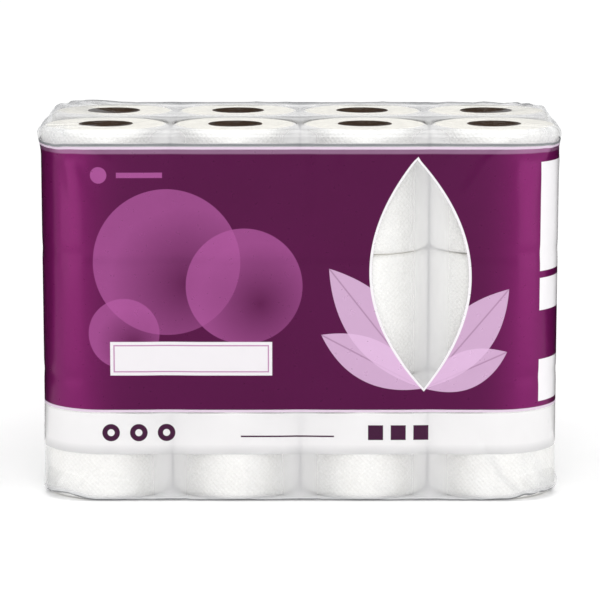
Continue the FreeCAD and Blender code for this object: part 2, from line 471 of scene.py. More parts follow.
travel = (np.arange(FILM_COLUMNS) / FILM_COLUMNS - 0.5) * PERIMETER
print(f"way round the bag {PERIMETER:.0f} mm, one column each {PERIMETER / FILM_COLUMNS:.1f} mm")

# %% Rows from the underside to the top
CAP_ROWS = 24
FILM_EDGE_ROWS = 6
WALL_ROWS = 96
CAP_RUN = HALF_DEPTH - FILM_EDGE


def film_rows():
    """For each row: inset from the wall, height, share of the way to the cap's middle line,
    and the flat sheet's distance upward."""
    steps = np.linspace(1, 0, CAP_ROWS, endpoint=False)
    lower = [(FILM_EDGE, 0.0, step, -step * CAP_RUN - FILM_EDGE) for step in steps]
    for angle in np.linspace(0, math.pi / 2, FILM_EDGE_ROWS, endpoint=False):
        inset = FILM_EDGE * (1 - math.sin(angle))
        rise = FILM_EDGE * (1 - math.cos(angle))
        lower.append((inset, rise, 0.0, rise - inset))
    heights = np.linspace(FILM_EDGE, BAG_HEIGHT - FILM_EDGE, WALL_ROWS + 1)
    wall = [(0.0, height, 0.0, height) for height in heights]
    upper = np.array(lower[::-1]) * [1, -1, 1, -1] + [0, BAG_HEIGHT, 0, BAG_HEIGHT]
    return np.concatenate([lower, wall, upper])


rows = film_rows()
ON_CAP = (rows[:, 2] > 0)[:, None]
ON_WALL = ~ON_CAP
UPPER = (rows[:, 1] > BAG_HEIGHT / 2)[:, None]
print("rows in the bag:", len(rows), "quads:", len(rows) * FILM_COLUMNS)


# %% The tight bag without any folds
def smooth(share):
    """A step from 0 to 1 without corners."""
    share = np.clip(share, 0, 1)
    return share * share * (3 - 2 * share)


def tight_bag():
    """Points of the bag, rows x columns x 3, in millimetres."""
    middle_line = HALF_WIDTH - HALF_DEPTH
    levels = []
    for inset, height, share, _ in rows:
        from_end = min(height, BAG_HEIGHT - height)
        end_corner = TOP_CORNER if height > BAG_HEIGHT / 2 else BOTTOM_CORNER
        corner = end_corner + (CORNER - end_corner) * smooth(from_end / END_BLEND)
        ring = outline(travel, HALF_WIDTH - inset, HALF_DEPTH - inset, max(corner - inset, 1.0))
        centre = np.stack([np.clip(ring[:, 0], -middle_line, middle_line), ring[:, 1] * 0], axis=-1)
        ring = ring + share * (centre - ring)
        levels.append(np.column_stack([ring, np.full(FILM_COLUMNS, height)]))
    return np.array(levels)


def outward(points):
    """The direction out of the bag at each point, from its neighbours."""
    round_way = np.roll(points, -1, 1) - np.roll(points, 1, 1)
    up_way = np.gradient(points, axis=0)
    normal = np.cross(round_way, up_way)
    length = np.linalg.norm(normal, axis=-1, keepdims=True)
    down_or_up = np.where(UPPER, 1.0, -1.0)[..., None] * [0.0, 0.0, 1.0]
    return np.where(ON_CAP[..., None], down_or_up, normal / np.maximum(length, 1e-9))


film_points = tight_bag()
film_outward = outward(film_points)
print("tight bag spans", np.ptp(film_points.reshape(-1, 3), axis=0).round(1), "mm")

# %% [markdown]
# ## Dips, creases and standing corners
# Real film is never smooth. It sinks in broad dips over the gaps between rolls, straight
# creases are pulled from its corners and over its edges, and loose film stands up at the top's
# corners, along its ends and in one pleat at the rear. A crease is a line with a width and a
# height on the flat sheet; a few hundred of them, drawn by a seeded generator so that each run
# is the same, look more like film than any cloudy noise does, because film folds along
# straight lines. Last, the underside's corners are drawn up a little off the floor.

# %% Broad dips over the gaps
DIP = 1.1
DIP_WIDTH = 15.0
LAYER_DIP = 0.35
CAP_DIP = 1.1
HOLE_DIP = 1.3
sheet_round, sheet_up = np.meshgrid(travel, rows[:, 3])
seams_x = [(a + b) / 2 for a, b in zip(axes_x, axes_x[1:])]
seams_y = [(a + b) / 2 for a, b in zip(axes_y, axes_y[1:])]


def hill(distance, width):
    """1 at no distance, falling softly to nothing over that width."""
    return np.exp(-((distance / width) ** 2))


def over_seams(width):
    """1 on the walls over each gap between rolls, less beside it over that width."""
    near = np.zeros(film_points.shape[:2])
    for axis, seams in enumerate((seams_x, seams_y)):
        facing = np.abs(film_outward[..., 1 - axis])
        for seam in seams:
            near += hill(film_points[..., axis] - seam, width) * facing
    return near


def broad_dips(points):
    """How far the tight film sinks into the gaps between the rolls."""
    x, y, z = np.moveaxis(points, -1, 0)
    depth = DIP * over_seams(DIP_WIDTH)
    sideways = np.abs(film_outward[..., :2]).sum(axis=-1)
    for layer in range(1, LAYERS):
        level = FILM_WALL + layer * ROLL_HEIGHT
        depth += LAYER_DIP * hill(z - level, 5.0) * sideways
    for seam in seams_x:
        for centre in [*seams_y, -HALF_DEPTH + 6, HALF_DEPTH - 6]:
            depth += ON_CAP * CAP_DIP * hill(np.hypot(x - seam, y - centre), 17.0)
    return depth + ON_CAP * HOLE_DIP * smooth((CORE_RADIUS - 1.0 - nearest) / 13)


nearest = np.min([
    np.hypot(film_points[..., 0] - x, film_points[..., 1] - y) for x, y in ROLL_AXES
], axis=0)
dips = broad_dips(film_points)
print(f"deepest dip {dips.max():.1f} mm")

# %% Straight creases on the flat sheet
FRONT_CORNER = FLAT_X + QUARTER / 2
BACK_CORNER = FLAT_X + QUARTER * 1.5 + 2 * FLAT_Y
BAG_ENDS = ((0.0, 1.0), (BAG_HEIGHT, -1.0))
CREASE_LIMIT = 1.9
WALL_FAN = 8
OVER_FAN = 7
EDGE_PLEATS = 30
PULL_LINES = 46
draw = np.random.default_rng(24)


def crease(field, start, end, width, height):
    """Adds a ridge from start to end, both (round, up) on the flat sheet, in millimetres."""
    run = np.subtract(end, start)
    length = np.hypot(*run)
    offset_round = (sheet_round - start[0] + PERIMETER / 2) % PERIMETER - PERIMETER / 2
    offset_up = sheet_up - start[1]
    along = (offset_round * run[0] + offset_up * run[1]) / length
    aside = (offset_up * run[0] - offset_round * run[1]) / length
    beyond = np.maximum(np.maximum(-along, along - length), 0)
    field += height * hill(aside, width) * hill(beyond, width * 2.5)


def corner_creases(field):
    """Creases that fan out from the upright corners' ends, on the walls and over the edges."""
    for corner in (FRONT_CORNER, -FRONT_CORNER, BACK_CORNER, -BACK_CORNER):
        for end, inward_sign in BAG_ENDS:
            for _ in range(WALL_FAN):
                at = corner + draw.normal(0, 17)
                lean = draw.normal(0, 0.5) + (at - corner) * 0.02
                reach = draw.uniform(16, 54)
                start = (at, end - inward_sign * draw.uniform(2, 10))
                stop = (at + lean * reach, end + inward_sign * reach)
                crease(field, start, stop, draw.uniform(3.0, 5.6), draw.normal(0.2, 0.5))
            for _ in range(OVER_FAN):
                at = corner + draw.normal(0, 22)
                reach = draw.uniform(12, 46)
                stop = (at + draw.normal(0, 0.3) * reach, end - inward_sign * reach)
                crease(field, (at, end + inward_sign * 3), stop, draw.uniform(3.2, 5.6),
                       draw.normal(0.25, 0.6))


def edge_creases(field):
    """Short pleats over the long edges, most of them beside the gaps between rolls."""
    for end, inward_sign in BAG_ENDS:
        for middle in (0.0, PERIMETER / 2):
            for _ in range(EDGE_PLEATS):
                seam = seams_x[draw.integers(len(seams_x))]
                at = middle + seam + draw.normal(0, 26)
                up_run = draw.uniform(4, 22)
                start = (at, end - inward_sign * draw.uniform(4, 26))
                stop = (at + draw.normal(0, 5), end + inward_sign * up_run)
                crease(field, start, stop, draw.uniform(1.8, 3.6), draw.normal(0.0, 0.28))


def wall_creases(field):
    """Long faint pull lines on the walls."""
    for _ in range(PULL_LINES):
        at = draw.uniform(-PERIMETER / 2, PERIMETER / 2)
        low = draw.uniform(8, BAG_HEIGHT - 90)
        length = draw.uniform(30, 110)
        stop = (at + draw.normal(0, 0.12) * length, low + length)
        crease(field, (at, low), stop, draw.uniform(2.4, 5.0), draw.normal(0, 0.16))


def soften(field):
    """The field with each point moved a little towards its neighbours."""
    beside = (np.roll(field, 1, 1) + np.roll(field, -1, 1)) / 2
    padded = np.pad(field, ((1, 1), (0, 0)), mode="edge")
    above = (padded[2:] + padded[:-2]) / 2
    return field * 0.4 + (beside + above) * 0.3


creases = np.zeros(sheet_up.shape)
corner_creases(creases)
edge_creases(creases)
wall_creases(creases)
creases = soften(soften(CREASE_LIMIT * np.tanh(creases / CREASE_LIMIT)))
print(f"creases from {creases.min():.1f} to {creases.max():.1f} mm")

# %% Ears, the crumpled ends of the top and its rear pleat
# each ear: side in x, side in y, how far in from the side, width and height
TOP_EARS = [
    (-1, -1, 11.0, 16.0, 2.8), (1, -1, 11.0, 16.0, 2.0),
    (-1, 1, 25.0, 19.0, 5.0), (1, 1, 16.0, 16.0, 1.2),
]
BOTTOM_EAR = 1.0
FRONT_TIP = 2.6
# heights on the left, -1, and on the right, 1
HOODS = {-1: 2.6, 1: 1.2}
END_FOLDS = {-1: 3.2, 1: 1.6}
PLEAT = 2.4
PLEAT_PLACE = HALF_DEPTH - 9.0
EAR_SIDEWAYS = 0.3


def ears(points):
    """Loose film that stands up at the corners, along the top's ends and in its rear pleat."""
    x, y, z = np.moveaxis(points, -1, 0)
    field = np.zeros(x.shape)
    for side_x, side_y, inset, width, height in TOP_EARS:
        away = np.hypot(x - side_x * (HALF_WIDTH - inset), y - side_y * (HALF_DEPTH - 13))
        field += height * hill(away, width) * hill(z - (BAG_HEIGHT - 7.0), 12.0)
        away = np.hypot(x - side_x * (HALF_WIDTH - 11), y - side_y * (HALF_DEPTH - 11))
        field += BOTTOM_EAR * hill(away, 15.0) * hill(z - 5.0, 8.0)
    tip = np.hypot(x - (HALF_WIDTH - 4), y + HALF_DEPTH - 30)
    field += FRONT_TIP * hill(tip, 10.0) * hill(z - 10.0, 5.0)
    for side_x in (-1, 1):
        hood = hill(x - side_x * (HALF_WIDTH - 32), 15.0) * hill(y - 44, 44.0)
        field += ON_CAP * UPPER * HOODS[side_x] * hood
        end_fold = hill(x - side_x * HALF_WIDTH, 13.0) * hill(z - (BAG_HEIGHT - 2.0), 10.0)
        field += END_FOLDS[side_x] * end_fold * smooth((88 - np.abs(y - 8)) / 40)
    pleat_end = smooth((HALF_WIDTH - 26 - np.abs(x)) / 24)
    field += PLEAT * hill(y - PLEAT_PLACE, 5.0) * hill(z - BAG_HEIGHT, 4.0) * pleat_end
    return field


standing = ears(film_points)
print(f"ears stand out {standing.max():.1f} mm")

# %% Corners of the underside that are pulled up off the floor
CORNER_LIFT = 5.5
LIFT_REACH = 46.0


def corner_lift(points):
    """How far each point rises because the film is drawn up under the bottom corners."""
    away = np.hypot(np.abs(points[..., 0]) - HALF_WIDTH, np.abs(points[..., 1]) - HALF_DEPTH)
    low_down = smooth(1 - points[..., 2] / 26.0)
    return CORNER_LIFT * smooth((LIFT_REACH - away) / 30.0) * low_down


raised = film_points + corner_lift(film_points)[..., None] * [0, 0, 1]
print(f"bottom corners rise {(raised - film_points).max():.1f} mm")

# %% [markdown]
# A crease that sinks in can't go into a roll: paper would show in front of the film, as a
# white streak in the print. So every point is tested against the rolls' own rounded outline,
# and one that has sunk too far is put back on it.

# %% Keep the film outside the rolls
CLEARANCE = 0.12


def edge_drop(past_flat):
    """How far a roll's rounded edge falls back, this far past where its flat part ends."""
    rounded = np.clip(past_flat, 0, EDGE_ROUND)
    return EDGE_ROUND - np.sqrt(EDGE_ROUND**2 - rounded**2)


def roll_radius_at(height):
    """The rolls' radius at this height, smaller where their edges are rounded."""
    within = (height - FILM_WALL) % ROLL_HEIGHT
    return ROLL_RADIUS - edge_drop(EDGE_ROUND - np.minimum(within, ROLL_HEIGHT - within))


def keep_clear(points):
    """The same points, with those inside a roll moved out to its surface."""
    x, y, z = np.moveaxis(points, -1, 0)
    roll_top = BAG_HEIGHT - FILM_WALL
    level = (z > FILM_WALL) & (z < roll_top)
    for axis_x, axis_y in ROLL_AXES:
        away = np.maximum(np.hypot(x - axis_x, y - axis_y), 1.0)
        radius = roll_radius_at(z) + CLEARANCE
        push = np.where(ON_WALL & level & (away < radius), radius / away, 1.0)
        x = axis_x + (x - axis_x) * push
        y = axis_y + (y - axis_y) * push
        over = ON_CAP & (away < ROLL_RADIUS) & (away > CORE_RADIUS)
        drop = edge_drop(away - ROLL_RADIUS + EDGE_ROUND)
        z = np.where(over & UPPER, np.maximum(z, roll_top - drop + CLEARANCE), z)
        z = np.where(over & ~UPPER, np.minimum(z, FILM_WALL + drop - CLEARANCE), z)
    return np.stack([x, y, np.maximum(z, 0.0)], axis=-1)


ear_way = film_outward * np.where(UPPER[..., None], [EAR_SIDEWAYS, EAR_SIDEWAYS, 1.0], 1.0)
sunk = raised + film_outward * (creases - dips)[..., None] + ear_way * standing[..., None]
moved = keep_clear(sunk)
print("points put back on the rolls:", int((np.abs(moved - sunk).max(axis=-1) > 0.01).sum()))

# %% [markdown]
# The finish has to know three things that only the shape can tell. The first is how creased the
# film is, together with where painted shade is laid along its rounded edges and over the gaps
# between rolls. The second is where it spans a gap between rolls, and so looks milky and gets
# painted light that lifts the shade between the rolls. The third is where it is stretched clear
# over the mouth of a card tube. Each is worked out for every point and kept on the mesh under a
# name of its own, where the material can read it.

# %% Creases with painted shade, gaps with haze and painted light, and stretched film
GAP_SHADE = 0.35
EDGE_SHADE = 0.4
TOP_GAP_LIGHT = 1.3
# Painted shade: grey lines along the rounded edges and over the gaps between rolls are added to the
# creases, so the film greys there in colour as well as in haze.
edge_run = np.clip(rows[:, 0] / FILM_EDGE, 0, 1)[:, None] * ON_WALL
edge_shade_lines = 4 * edge_run * (1 - edge_run)
fold_and_shade_share = np.abs(creases) / 1.8 + standing / 6.0
fold_and_shade_share = np.clip(fold_and_shade_share + over_seams(5.0) * GAP_SHADE + edge_shade_lines * EDGE_SHADE, 0, 1)
# Partly real, partly painted light: film that spans a gap between rolls is milky, and its white
# haze also lifts the shade that falls between the rolls.
top_gap_light = TOP_GAP_LIGHT * smooth((nearest - ROLL_RADIUS + EDGE_ROUND) / 9.0)
gap_haze_and_light = np.where(ON_CAP, top_gap_light, smooth((nearest - ROLL_RADIUS - 3.0) / 19.0))
stretched = smooth((CORE_RADIUS - nearest) / 5.0) * ON_CAP
print("bag with folds spans", np.ptp(moved.reshape(-1, 3), axis=0).round(1), "mm")

# %% [markdown]
# The last row of each cap has folded down to one line, with each point of the front half on
# top of one of the back half. Merging points that lie together closes the bag, so that it is
# one watertight skin, as the real one is.

# %% Make the bag's mesh and close its caps
import bmesh


def close_openings(mesh, reach):
    """Merges rim points within reach and fills what is still open; gives the open edges left."""
    editing = bmesh.new()
    editing.from_mesh(mesh)
    rim = [vertex for vertex in editing.verts if vertex.is_boundary]
    bmesh.ops.remove_doubles(editing, verts=rim, dist=reach)
    open_edges = [edge for edge in editing.edges if edge.is_boundary]
    if open_edges:
        bmesh.ops.holes_fill(editing, edges=open_edges)
    left = sum(edge.is_boundary for edge in editing.edges)
    editing.to_mesh(mesh)
    editing.free()
    return left


around = np.append(travel, PERIMETER / 2)
sheet_grid = np.stack(np.meshgrid(around, rows[:, 3]), axis=-1)
film_mesh = grid_mesh("film_bag", moved, sheet_grid, "wrap")
for name, values in {"fold_and_shade": fold_and_shade_share, "gap_light": gap_haze_and_light, "taut": stretched}.items():
    kept = film_mesh.attributes.new(name, "FLOAT", "POINT")
    kept.data.foreach_set("value", values.astype(np.float32).ravel())
print("open edges left:", close_openings(film_mesh, 1.2 * MM))
film_mesh.shade_smooth()
add_piece("film_bag", film_mesh, "film", FILM_NODE)
print("faces in the bag:", len(film_mesh.polygons))

# %% [markdown]
# ## The print
# The film is clear, and ink makes it purple or white in places, so one mask says where ink
# is and another what colour it has. The design is plain and made for this lesson: a purple
# field with pale lines at both edges, three soft discs with a dot and a bar above them, a
# blank white label, a fan of petals of which the tallest is left clear, blank white boxes on
# one side, and a white band below with small rings and squares. All of it is set out on the
# flat sheet in millimetres, as a printer would.

# %% Where the print lies, in millimetres on the flat sheet
FIELD_LOW = 74.7
FIELD_HIGH = 282.4
LINE_WIDTH = 2.0
SHADE_WIDTH = 2.4
RIM_WIDTH = 3.6
BAND_LOW = 38.7
BAND_HIGH = 71.8
EDGE_SOFT = 0.35
TUCK_TIP = HALF_WIDTH - FILM_EDGE - (HALF_DEPTH - TOP_CORNER)
DISCS = [(-105.0, 193.0, 58.0), (-44.0, 174.0, 46.0), (-139.0, 136.0, 28.0)]
DOT = (-158.0, 262.0, 6.5)
DOT_BAR = (-126.0, 262.0, 36.0, 4.2)
LABEL = (-86.0, 116.0, 128.0, 27.0)
FAN_BASE = (98.0, 92.0)
PETALS = [
    (24.0, 72.0, 30.0), (50.0, 104.0, 38.0), (152.0, 92.0, 34.0), (128.0, 122.0, 42.0),
]
CLEAR_PETAL = (92.0, 182.0, 76.0)
SIDE_BOXES = [(152.5, 178.5), (184.0, 271.0), (79.0, 113.0)]
SIDE_BOX_WIDTH = 190.0

# %% Colours of the ink
PLUM = screen(83, 9, 66)
PLUM_DEEP = screen(75, 6, 58)
# The colour after the next is a painted sheen for the round upright corners.
PAINTED_SHEEN_PINK = screen(114, 23, 90)
MAGENTA = screen(168, 84, 150)
LILAC = screen(214, 178, 212)
LINE_LILAC = screen(226, 206, 226)
# The next colour is painted shade, for the grey line above the field and at the band's lower edge.
PAINTED_SHADE_GREY = screen(124, 128, 131)
MARK_PLUM = screen(62, 24, 54)
WHITE_INK = screen(252, 251, 252)
BOX_WHITE = screen(239, 237, 239)
LABEL_WHITE = screen(232, 229, 232)
CLEAR_HAZE = screen(246, 247, 249)
# The next colour is painted shade, for creases, rounded edges and the gaps between rolls.
FOLD_SHADE_GREY = screen(170, 173, 177)
# The next colour is that milky haze and painted light over the gaps between rolls.
GAP_LIGHT_WHITE = screen(243, 243, 244)
# The next colour is painted shade, for the grey line along the bottom edge and the rear pleat.
HEM_SHADE_GREY = screen(130, 132, 135)

# %% Shapes on the sheet
film = Finish("printed_film")
wrap = film.sheet("wrap")
wrap_round, wrap_up, _ = film.parts(wrap)
round_mm = wrap_round / MM
up_mm = wrap_up / MM
face_mm = film.maths("WRAP", round_mm, PERIMETER / 4, -PERIMETER / 4)


def bar(centre_x, centre_y, width, height, across=face_mm):
    """Above zero inside an upright rectangle; the value is the distance to its edge."""
    in_x = width / 2 - abs(across - centre_x)
    in_y = height / 2 - abs(up_mm - centre_y)
    return film.maths("MINIMUM", in_x, in_y)


def disc(centre_x, centre_y, radius):
    """Above zero inside a circle."""
    dx = face_mm - centre_x
    dy = up_mm - centre_y
    return radius - film.maths("SQRT", dx * dx + dy * dy)


def petal(degrees, length, width):
    """Above zero inside a pointed petal that grows from the fan's base, and how far aside."""
    turn = math.radians(degrees)
    dx = face_mm - FAN_BASE[0]
    dy = up_mm - FAN_BASE[1]
    share = (dx * math.cos(turn) + dy * math.sin(turn)) / length
    aside = abs(dy * math.cos(turn) - dx * math.sin(turn))
    return share * (1 - share) * (2 * width) - aside, aside


def solid_mask(inside):
    """1 inside a printed shape, with an edge as sharp as print has."""
    return film.mask(inside, EDGE_SOFT)


def stripe(low, high):
    """1 between two heights on the sheet."""
    return solid_mask((high - low) / 2 - abs(up_mm - (high + low) / 2))


# %% The purple field, its painted corner sheen and its soft discs
field = stripe(FIELD_LOW, FIELD_HIGH)
cloud = film.noise(wrap, 9.0, 2.0)
ink = film.mix(film.clamp(cloud * 1.2 - 0.2), PLUM_DEEP, PLUM)
# Painted highlight: the ink is lightened towards each upright corner as a painted sheen, on top of
# the real sheen that the two side boxes give.
from_corner = (abs(face_mm) - (FLAT_X + QUARTER * 0.46)) / (QUARTER * 0.4)
painted_corner_sheen = 1 / (1 + from_corner * from_corner * from_corner * from_corner)
ink = film.mix(painted_corner_sheen, ink, PAINTED_SHEEN_PINK)
for centre_x, centre_y, radius in DISCS:
    inside = disc(centre_x, centre_y, radius)
    deep = disc(centre_x + radius * 0.28, centre_y - radius * 0.3, radius)
    glow = solid_mask(inside) * film.clamp(0.95 - deep / radius * 0.85)
    ink = film.mix(glow * 0.62, ink, MAGENTA)
dot_and_bar = film.most(disc(*DOT), bar(*DOT_BAR))
ink = film.mix(solid_mask(dot_and_bar) * 0.8, ink, MAGENTA)
print("discs:", len(DISCS), "and a small dot and bar")

# %% The fan of petals
for degrees, length, width in PETALS:
    inside, aside = petal(degrees, length, width)
    body_mask = solid_mask(inside)
    rib = 1 - film.clamp(aside / 0.9)
    ink = film.mix(body_mask * (0.78 - rib * 0.35), ink, LILAC)
window_inside, _ = petal(*CLEAR_PETAL)
window = solid_mask(window_inside)
window_line = solid_mask(window_inside + 2.2) - window
ink = film.mix(window_line, ink, LABEL_WHITE)
print("petals:", len(PETALS) + 1)

# %% The blank label, the edge lines, a painted shade line and the blank side boxes
label = solid_mask(bar(*LABEL))
outer_edge, inner_edge = [
    solid_mask(bar(*LABEL[:2], LABEL[2] - inset, LABEL[3] - inset)) for inset in (5, 7)
]
ink = film.mix(label, ink, LABEL_WHITE)
ink = film.mix((outer_edge - inner_edge) * 0.8, ink, MAGENTA)
side_middle = PERIMETER / 4
boxes = film.most(*[
    solid_mask(bar(side_middle, (low + high) / 2, SIDE_BOX_WIDTH, high - low, round_mm))
    for low, high in SIDE_BOXES
])
ink = film.mix(boxes, ink, BOX_WHITE)
lines = film.most(
    stripe(FIELD_HIGH, FIELD_HIGH + LINE_WIDTH), stripe(FIELD_LOW - LINE_WIDTH, FIELD_LOW)
)
# Painted shade: a soft grey line just above the top edge line, laid in the film's colour and cover.
shade_middle = FIELD_HIGH + LINE_WIDTH + SHADE_WIDTH * 0.6
shade_line = film.mask(SHADE_WIDTH / 2 - abs(up_mm - shade_middle), 1.2)
bright_rim = film.mask(RIM_WIDTH - (FIELD_HIGH - up_mm), 1.0)
ink = film.mix(bright_rim * 0.28, ink, LILAC)

# %% The white band with painted shade at its lower edge, and its small marks
RINGS = (-150.0, -128.0, -106.0)
SQUARES = (60.0, 78.0, 96.0)
band = stripe(BAND_LOW, BAND_HIGH)
mark_height = (BAND_LOW + BAND_HIGH) / 2 + 1


def ring_mask(centre, outer=7.0, inner=2.8):
    """1 on a printed ring of the band."""
    inside = solid_mask(disc(centre, mark_height, outer))
    return inside - solid_mask(disc(centre, mark_height, inner))


rings = [ring_mask(centre) for centre in RINGS]
squares = [solid_mask(bar(centre, mark_height, 12.0, 12.0)) for centre in SQUARES]
rule = solid_mask(bar(-10.0, mark_height - 3, 74.0, 1.3))
marks = film.most(*rings, *squares, rule)
# Painted shade: the band greys towards its lower edge, as a soft line of shade above the clear
# film.
band_lower_shade = film.clamp(1 - (up_mm - BAND_LOW) / 8.0)
band_ink = film.mix(band_lower_shade * 0.42, WHITE_INK, PAINTED_SHADE_GREY)
outside_field = film.mix(marks, band_ink, MARK_PLUM)
ink = film.mix(field, outside_field, ink)
print("rings, squares and a rule on the band")

# %% [markdown]
# ## Clear film and inked film
# Ink hides what is behind it. Clear film does not, but it isn't nothing: it has a milky haze,
# more of it where the film is creased, lies double or spans a gap between rolls, and it
# mirrors lamps. Its colour also carries painted light and shade: grey painted shade in its
# creases, along its rounded edges and over the gaps between rolls, white painted light over
# those gaps and near the bottom, and a grey line of painted shade along the bottom edge and
# in the rear pleat. So the clear part is a mix of see-through and mirror by the Fresnel
# law, the inked part is an ordinary surface whose shine is tinted by the ink and grows where
# it turns away, and the cover mask chooses between them.

# %% The milky haze of clear film
LOW_FILM_LIGHT_COVER = 0.75
GAP_LIGHT_COVER = 0.52
crinkle = film.noise(wrap, 160.0, 3.0, 0.6)
streak_place = film.add("CombineXYZ", {}, {"X": wrap_round * 60.0, "Y": wrap_up * 14.0})
streaks = film.noise(streak_place, 1.0, 4.0, 0.6)
haze = film.clamp(0.07 + (streaks - 0.5) * 0.36 + (crinkle - 0.5) * 0.1)
folded_and_shaded = film.attribute("fold_and_shade")
gap_light_share = film.attribute("gap_light")
over_hole = film.attribute("taut")
over_edge = film.clamp((up_mm - BAG_HEIGHT) / 4.0)
under_edge = film.clamp(up_mm * -0.25)
haze = film.clamp(haze - over_edge * 0.03 + under_edge * 0.1 + folded_and_shaded * 0.34)
spot = film.add("TexCoord", {}, {}, output="Object")
spot_x, spot_y, _ = film.parts(spot)
from_tip = (abs(spot_x) - abs(spot_y)) / MM - TUCK_TIP
on_top = solid_mask(up_mm - BAG_HEIGHT)
tucked = on_top * solid_mask(from_tip)
tuck_line = on_top * (1 - film.clamp(abs(from_tip) / 1.2))
haze = film.clamp(haze + tucked * 0.07 + tuck_line * 0.16)
# Painted light: a white haze near the bottom brightens film there, which faces down and gets little
# light.
low_film_light = film.clamp((8 - up_mm) / 9.0) * film.clamp((up_mm + 14) / 6.0)
# Painted light: the white haze over the gaps between rolls also lifts the shade there.
haze = film.most(haze, low_film_light * LOW_FILM_LIGHT_COVER, gap_light_share * GAP_LIGHT_COVER)
haze = haze * (1 - over_hole * 0.95)

# %% How much of what is behind the film is hidden
HEM_SHADE_COVER = 0.7
BAND_COVER = 0.7
LINE_COVER = 0.9
# Painted shade: a grey line along the bottom edge, where the pack meets the floor, and along the
# rear pleat on top.
bottom_edge_shade = film.mask(2.7 - abs(up_mm + 3.2), 1.4)
from_pleat = abs(spot_y / MM - PLEAT_PLACE)
pleat_shade = on_top * film.mask(5.0 - from_pleat, 4.0)
hem_shade = film.most(bottom_edge_shade, pleat_shade)
printed_field = field * (1 - window)
cover = film.most(
    printed_field, haze, hem_shade * HEM_SHADE_COVER, band * BAND_COVER, band * marks,
    lines * LINE_COVER, shade_line * LINE_COVER,
)
purple = printed_field * (1 - label) * (1 - boxes)
# Painted shade: clear film is coloured grey where it is creased, along its rounded edges and over
# the gaps between rolls.
clear_colour = film.mix(folded_and_shaded * 0.8, CLEAR_HAZE, FOLD_SHADE_GREY)
for share, tone in [(gap_light_share, GAP_LIGHT_WHITE), (low_film_light, CLEAR_HAZE), (hem_shade, HEM_SHADE_GREY)]:
    clear_colour = film.mix(share, clear_colour, tone)
inked_part = film.most(printed_field, band)
colour = film.mix(inked_part, clear_colour, ink)
colour = film.mix(lines, colour, LINE_LILAC)
colour = film.mix(shade_line, colour, PAINTED_SHADE_GREY)

# %% Put the film together
LEAST_GLEAM = 0.035
GRAZING_GLEAM = 0.26
pulled = film.noise(streak_place, 0.8, 1.5)
slack = film.noise(wrap, 55.0, 1.0)
film_height = (pulled * 0.8 + slack * 0.5) * (1 - folded_and_shaded * 0.6)
film_bump = film.add("Bump", {}, {"Strength": 0.4, "Distance": 0.0014, "Height": film_height})
inked = film.add("BsdfPrincipled", {}, {
    "Base Color": colour,
    "Metallic": purple * 0.5,
    "Roughness": 0.24 + crinkle * 0.1,
    "Coat Weight": 0.2,
    "Coat Roughness": 0.16,
    "Specular IOR Level": 0.12,
    "Specular Tint": screen(150, 70, 130),
    "Normal": film_bump,
})
clear = film.add("BsdfTransparent", {}, {})
mirror = film.add("BsdfGlossy", {}, {"Color": WHITE, "Roughness": 0.09, "Normal": film_bump})
grazing = film.add("Fresnel", {}, {"IOR": 1.5, "Normal": film_bump})
flat_top = on_top * (1 - folded_and_shaded)
gleam = LEAST_GLEAM + grazing * (GRAZING_GLEAM - flat_top * 0.12)
gleam = gleam * (1 - over_hole * 0.6)
open_film = film.add("MixShader", {}, {"Fac": gleam, 1: clear, 2: mirror})
rim_gleam = film.clamp((grazing - 0.15) * 1.25) * inked_part
shiny_print = film.add("MixShader", {}, {"Fac": rim_gleam, 1: inked, 2: mirror})
film.show(film.add("MixShader", {}, {"Fac": cover, 1: open_film, 2: shiny_print}))
film_mesh.materials.append(film.material)
print("nodes in the film's finish:", len(film.tree.nodes))

# %% [markdown]
# ## The weld
# The bag is closed by a welded strip that lies flat along the middle of the top. It is two
# layers of clear film pressed between ribbed bars, so it is a thin ribbon with a fine ripple
# across it. A ribbon is again a grid; it has its own thickness, so that it can be seen from
# the side and casts a thin line of shade.

# %% The ribbon
WELD_HALF_WIDTH = 5.5
WELD_END = HALF_WIDTH - FILM_EDGE - 3.0
WELD_RIB = 1.6
WELD_COLUMNS = 260


def weld_mesh():
    """A flat closed tube: rows go round its section, from end to end of the strip."""
    run = np.linspace(-WELD_END, WELD_END, WELD_COLUMNS)[:, None]
    section_y = np.array([-1, -0.4, 0.4, 1, 1, 0.4, -0.4, -1]) * WELD_HALF_WIDTH
    section_z = np.array([0.0, 0.0, 0.0, 0.0, 0.35, 0.55, 0.55, 0.35])
    ripple = 0.06 * np.sin(math.pi * run / WELD_RIB)
    sway = 0.7 * np.sin(run * 0.021 + 0.6) + 0.3 * np.sin(run * 0.07)
    lift = BAG_HEIGHT + 0.25 + 0.25 * np.abs(np.sin(run * 0.045 + 1.0))
    points = np.stack([
        np.repeat(run, 8, axis=1),
        section_y + sway,
        section_z + lift + ripple * (section_z > 0),
    ], axis=-1)
    across = np.linspace(0, 4 * WELD_HALF_WIDTH, 9)
    flat = np.stack(np.meshgrid(run, across, indexing="ij"), axis=-1)
    return grid_mesh("weld", points, flat, "strip")


def weld_finish():
    paint = Finish("welded_film")
    run = paint.parts(paint.sheet("strip"))[0] / MM
    ribs = paint.maths("SINE", run * (2 * math.pi / WELD_RIB)) * 0.5 + 0.5
    milky = paint.surface(CLEAR_HAZE, 0.2 + ribs * 0.1, ribs, 0.5, 0.0003, {})
    clear_part = paint.add("BsdfTransparent", {}, {})
    sockets = {"Fac": 0.22 + ribs * 0.14, 1: clear_part, 2: milky}
    return paint.show(paint.add("MixShader", {}, sockets))


strip_mesh = weld_mesh()
close_openings(strip_mesh, 0.0)
strip_mesh.materials.append(weld_finish())
add_piece("weld", strip_mesh, "film")
print("faces in the weld:", len(strip_mesh.polygons))

